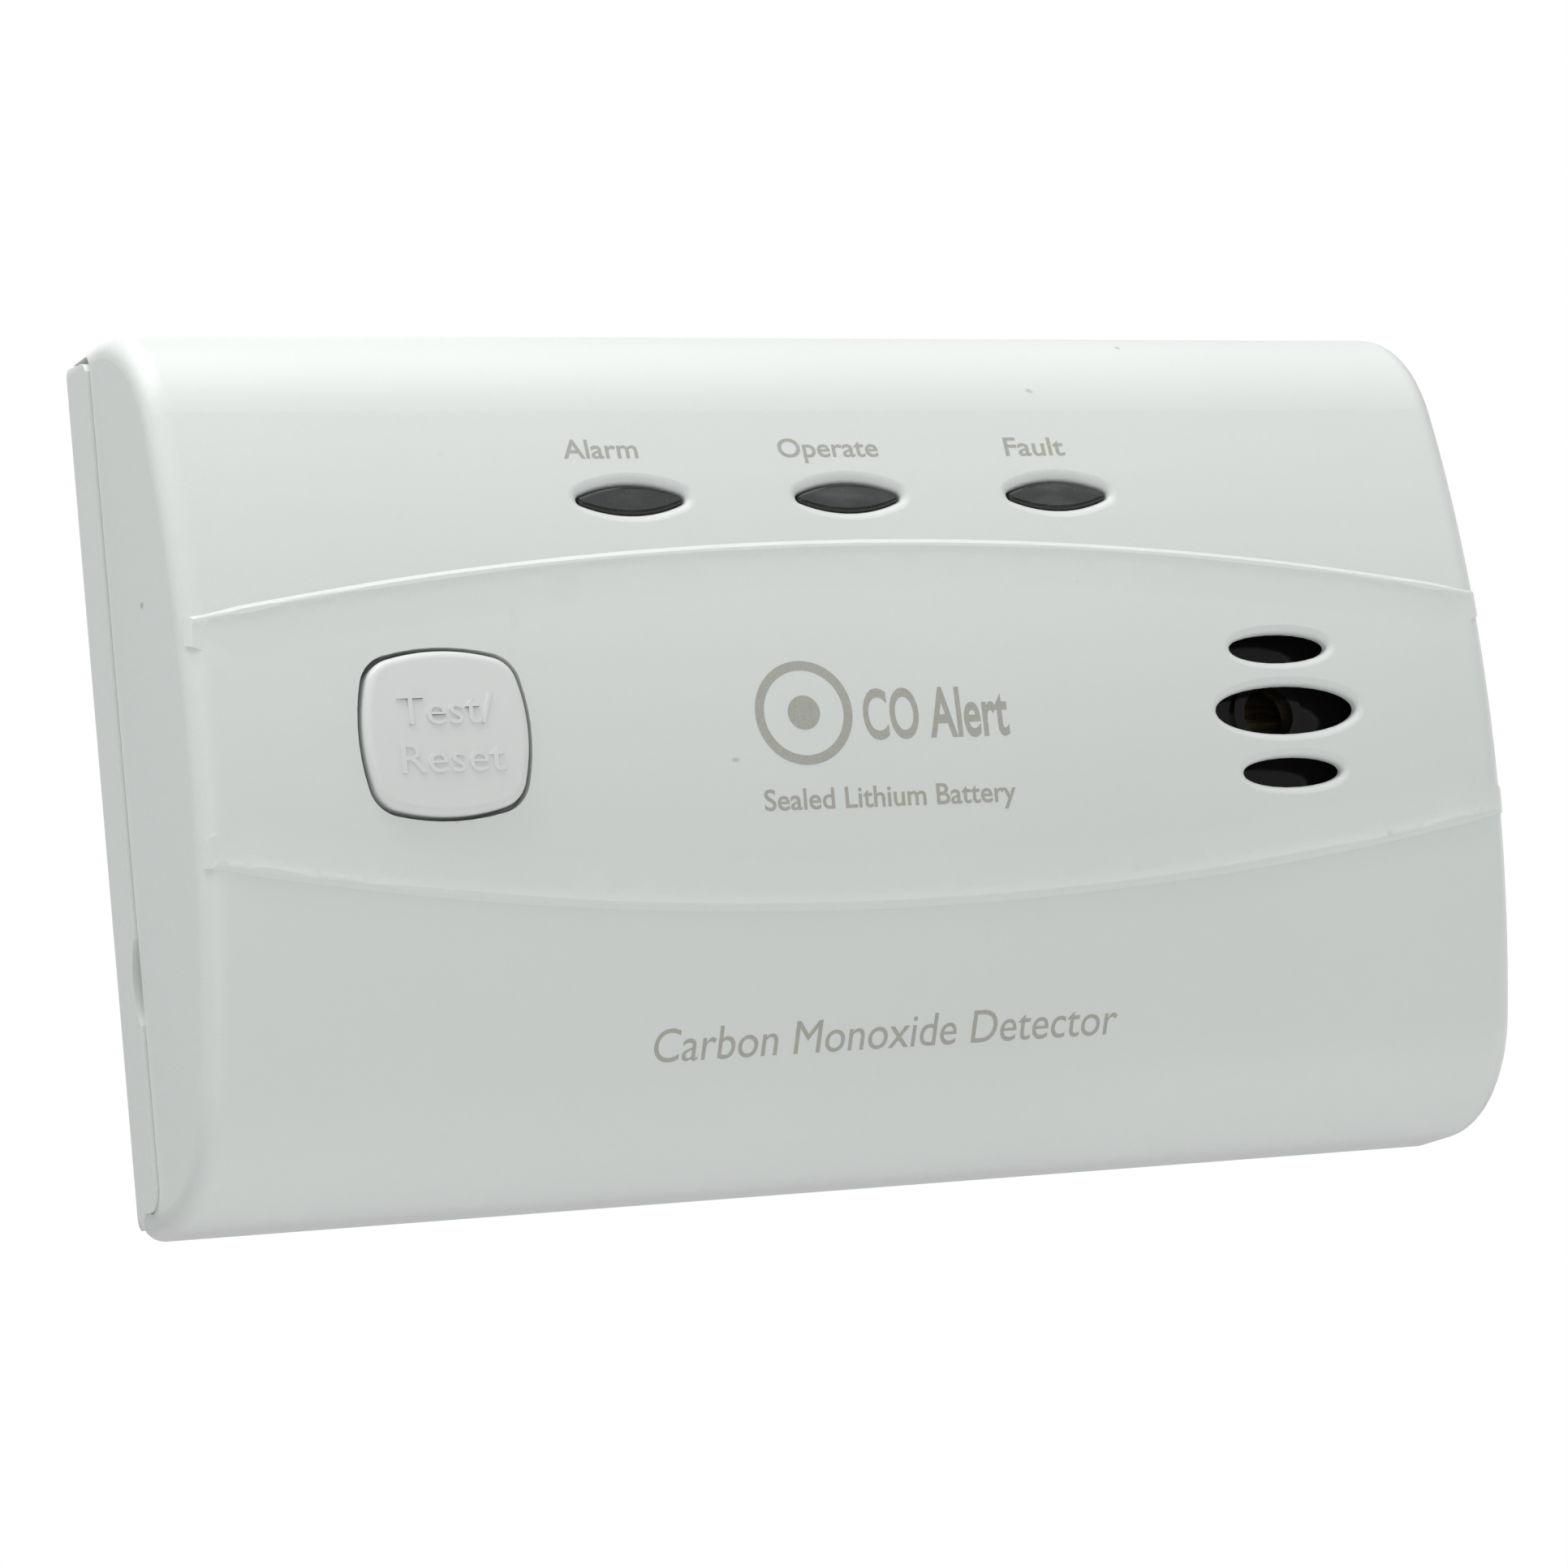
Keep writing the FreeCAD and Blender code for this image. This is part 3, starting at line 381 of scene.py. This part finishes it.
def dress_nodes():
    """Gives each CAD node the material that belongs to its slot in the record."""
    for part in frame["record"]["subparts"]:
        for place in nodes[part["node"]].material_slots:
            place.material = MATERIALS[part["material_slot"]]


# ---------------------------------------------------------------- print and raised letters

def surface_of(node):
    """A CAD node's mesh, as a tree for finding its front along +Y."""
    made = bmesh.new()
    made.from_mesh(nodes[node].data)
    tree = BVHTree.FromBMesh(made)
    made.free()
    return tree


def lay_on(flat, tree, rise):
    """Bends a flat drawing in X and Z onto a node's front. The drawing's own Y runs from 0, at a
    height of rise in front of the surface, to 1, sunk into it."""
    for vertex in flat.verts:
        start = Vector((vertex.co.x, WELL_IN_FRONT, vertex.co.z))
        hit = tree.ray_cast(start, Vector((0.0, 1.0, 0.0)))[0]
        vertex.co.y = hit.y - rise + vertex.co.y * (rise + DRAWING_SINK)


def slice_rows(flat):
    """Cuts a flat drawing into rows, so that it can bend."""
    heights = [vertex.co.z for vertex in flat.verts]
    level = min(heights) + ROW_HEIGHT
    while level < max(heights):
        everything = flat.verts[:] + flat.edges[:] + flat.faces[:]
        bmesh.ops.bisect_plane(flat, geom=everything, plane_co=(0, 0, level), plane_no=(0, 0, 1))
        level += ROW_HEIGHT


def text_drawing(words, size, width, weight, slant):
    """Words as a closed flat drawing, Y from 0 to 1, starting at the origin. The built-in font is
    used; size is the height of a capital and width is the whole length."""
    curve = bpy.data.curves.new("words", "FONT")
    curve.shear = slant
    curve.offset = weight
    curve.resolution_u = CURVE_STEPS
    maker = bpy.data.objects.new("words", curve)
    bpy.context.scene.collection.objects.link(maker)
    curve.body = "H"
    bpy.context.view_layer.update()
    capital = maker.dimensions.y
    curve.body = words
    curve.extrude = 0.5
    bpy.context.view_layer.update()
    solid = maker.evaluated_get(bpy.context.evaluated_depsgraph_get())
    mesh = bpy.data.meshes.new_from_object(solid)
    drawing = bmesh.new()
    drawing.from_mesh(mesh)
    bpy.data.objects.remove(maker)
    bpy.data.curves.remove(curve)
    bpy.data.meshes.remove(mesh)
    bmesh.ops.remove_doubles(drawing, verts=drawing.verts[:], dist=WELD_DISTANCE)
    left = min(vertex.co.x for vertex in drawing.verts)
    length = max(vertex.co.x for vertex in drawing.verts) - left
    tall = size / capital
    wide = width / length
    for vertex in drawing.verts:
        x, y, z = vertex.co
        vertex.co = ((x - left) * wide, 0.5 - z, y * tall)
    return drawing


def ring_drawing(outer, inner):
    """A flat ring, Y from 0 to 1, centred on the origin."""
    drawing = bmesh.new()
    rings = []
    for radius in (outer, inner):
        for depth in (0.0, 1.0):
            turns = (2 * math.pi * k / RING_STEPS for k in range(RING_STEPS))
            points = ((radius * math.cos(t), depth, radius * math.sin(t)) for t in turns)
            rings.append([drawing.verts.new(point) for point in points])
    outside_front, outside_back, inside_front, inside_back = rings
    for k in range(RING_STEPS):
        n = (k + 1) % RING_STEPS
        for a, b in ((outside_front, outside_back), (outside_back, inside_back),
                     (inside_back, inside_front), (inside_front, outside_front)):
            drawing.faces.new((a[k], a[n], b[n], b[k]))
    return drawing


def piece_from(drawing, name, node, x, z, rise, body, material):
    """Makes a piece of the visual model from a flat drawing laid on a CAD node's front."""
    for vertex in drawing.verts:
        vertex.co.x += x
        vertex.co.z += z
    slice_rows(drawing)
    lay_on(drawing, surface_of(node), rise)
    bmesh.ops.recalc_face_normals(drawing, faces=drawing.faces[:])
    mesh = bpy.data.meshes.new(name)
    drawing.to_mesh(mesh)
    drawing.free()
    piece = bpy.data.objects.new(name, mesh)
    bpy.context.scene.collection.objects.link(piece)
    mesh.materials.append(material)
    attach(piece, body)
    return piece


def print_on_case(name, drawing, x, z):
    piece_from(drawing, name, "front_cover", x, z, PRINT_RISE, "alarm", INK)


def letters_on_button(name, drawing, x, z):
    piece = piece_from(drawing, name, "test_button", x, z, LETTER_RISE, "test_button",
                       MATERIALS["button_white"])
    soften = piece.modifiers.new("soft_edges", "BEVEL")
    soften.width = BEVEL_WIDTH
    soften.segments = BEVEL_SEGMENTS
    soften.limit_method = "ANGLE"
    soften.angle_limit = BEVEL_ANGLE


def lay_words(rows, lay):
    for name, words, size, width, left, baseline, weight, slant in rows:
        drawing = text_drawing(words, size * MM, width * MM, weight, slant)
        lay(name, drawing, left * MM, baseline * MM)


def print_front():
    lay_words(WINDOW_WORDS, print_on_case)
    for name, outer, inner in RINGS:
        print_on_case(name, ring_drawing(outer * MM, inner * MM), RING_X * MM, RING_Z * MM)
    lay_words(CASE_WORDS, print_on_case)
    lay_words(BUTTON_WORDS, letters_on_button)


# ---------------------------------------------------------------- camera, floor and light

def place_camera():
    """The main camera. Its azimuth is 0 in front of the object and grows towards its left."""
    a, e = CAMERA_AZIMUTH, CAMERA_ELEVATION
    back = Vector((-math.sin(a) * math.cos(e), -math.cos(a) * math.cos(e), math.sin(e)))
    right = (-back).cross(Vector((0, 0, 1))).normalized()
    up = right.cross(-back)
    turned_right = right * math.cos(CAMERA_ROLL) + up * math.sin(CAMERA_ROLL)
    turned_up = up * math.cos(CAMERA_ROLL) - right * math.sin(CAMERA_ROLL)
    data = bpy.data.cameras.new("camera")
    data.lens = CAMERA_LENS
    data.sensor_width = CAMERA_SENSOR
    data.clip_start = CAMERA_NEAREST
    camera = bpy.data.objects.new("camera", data)
    bpy.context.scene.collection.objects.link(camera)
    turn = Matrix((turned_right, turned_up, back)).transposed().to_4x4()
    camera.matrix_world = Matrix.Translation(CAMERA_TARGET + back * CAMERA_DISTANCE) @ turn
    bpy.context.scene.camera = camera


def softbox(name, azimuth, elevation, distance, size, power):
    """A square light that faces the object; azimuth 0 is in front and 90 on its right."""
    a, e = math.radians(azimuth), math.radians(elevation)
    back = Vector((math.sin(a) * math.cos(e), -math.cos(a) * math.cos(e), math.sin(e)))
    data = bpy.data.lights.new(name, "AREA")
    data.shape = "SQUARE"
    data.size = size
    data.energy = power
    light = bpy.data.objects.new(name, data)
    bpy.context.scene.collection.objects.link(light)
    light.location = back * distance
    light.rotation_mode = "QUATERNION"
    light.rotation_quaternion = back.to_track_quat("Z", "Y")


def make_floor():
    """A level sheet of pale paper, which is staging and not part of the object."""
    mesh = bpy.data.meshes.new("floor")
    low = case_low.z - FLOOR_DROP
    half = FLOOR_HALF
    corners = ((-half, -half), (half, -half), (half, half), (-half, half))
    mesh.from_pydata([(x, y, low) for x, y in corners], [], [(0, 1, 2, 3)])
    floor = bpy.data.objects.new("floor", mesh)
    bpy.context.scene.collection.objects.link(floor)
    made = Nodes("floor_paper")
    drift = made.spread(made.noise(30.0))
    made.colour(made.mix(drift, rgba(0.78, 0.78, 0.78), rgba(0.8, 0.8, 0.8)))
    made.set(Roughness=0.8)
    mesh.materials.append(made.material)


def light_studio():
    """A white surround that the camera sees, a dimmer one that lights the object, and softboxes."""
    world = bpy.data.worlds.new("studio")
    bpy.context.scene.world = world
    world.use_nodes = True
    tree = world.node_tree
    ambient = tree.nodes["Background"]
    ambient.inputs["Color"].default_value = WHITE
    ambient.inputs["Strength"].default_value = AMBIENT
    backdrop = tree.nodes.new("ShaderNodeBackground")
    backdrop.inputs["Color"].default_value = WHITE
    chooser = tree.nodes.new("ShaderNodeMixShader")
    seen = tree.nodes.new("ShaderNodeLightPath").outputs["Is Camera Ray"]
    tree.links.new(seen, chooser.inputs[0])
    tree.links.new(ambient.outputs[0], chooser.inputs[1])
    tree.links.new(backdrop.outputs[0], chooser.inputs[2])
    tree.links.new(chooser.outputs[0], tree.nodes["World Output"].inputs["Surface"])
    for settings in SOFTBOXES:
        softbox(*settings)
    bpy.context.scene.view_settings.view_transform = "Standard"


dress_nodes()
print_front()
place_camera()
make_floor()
light_studio()
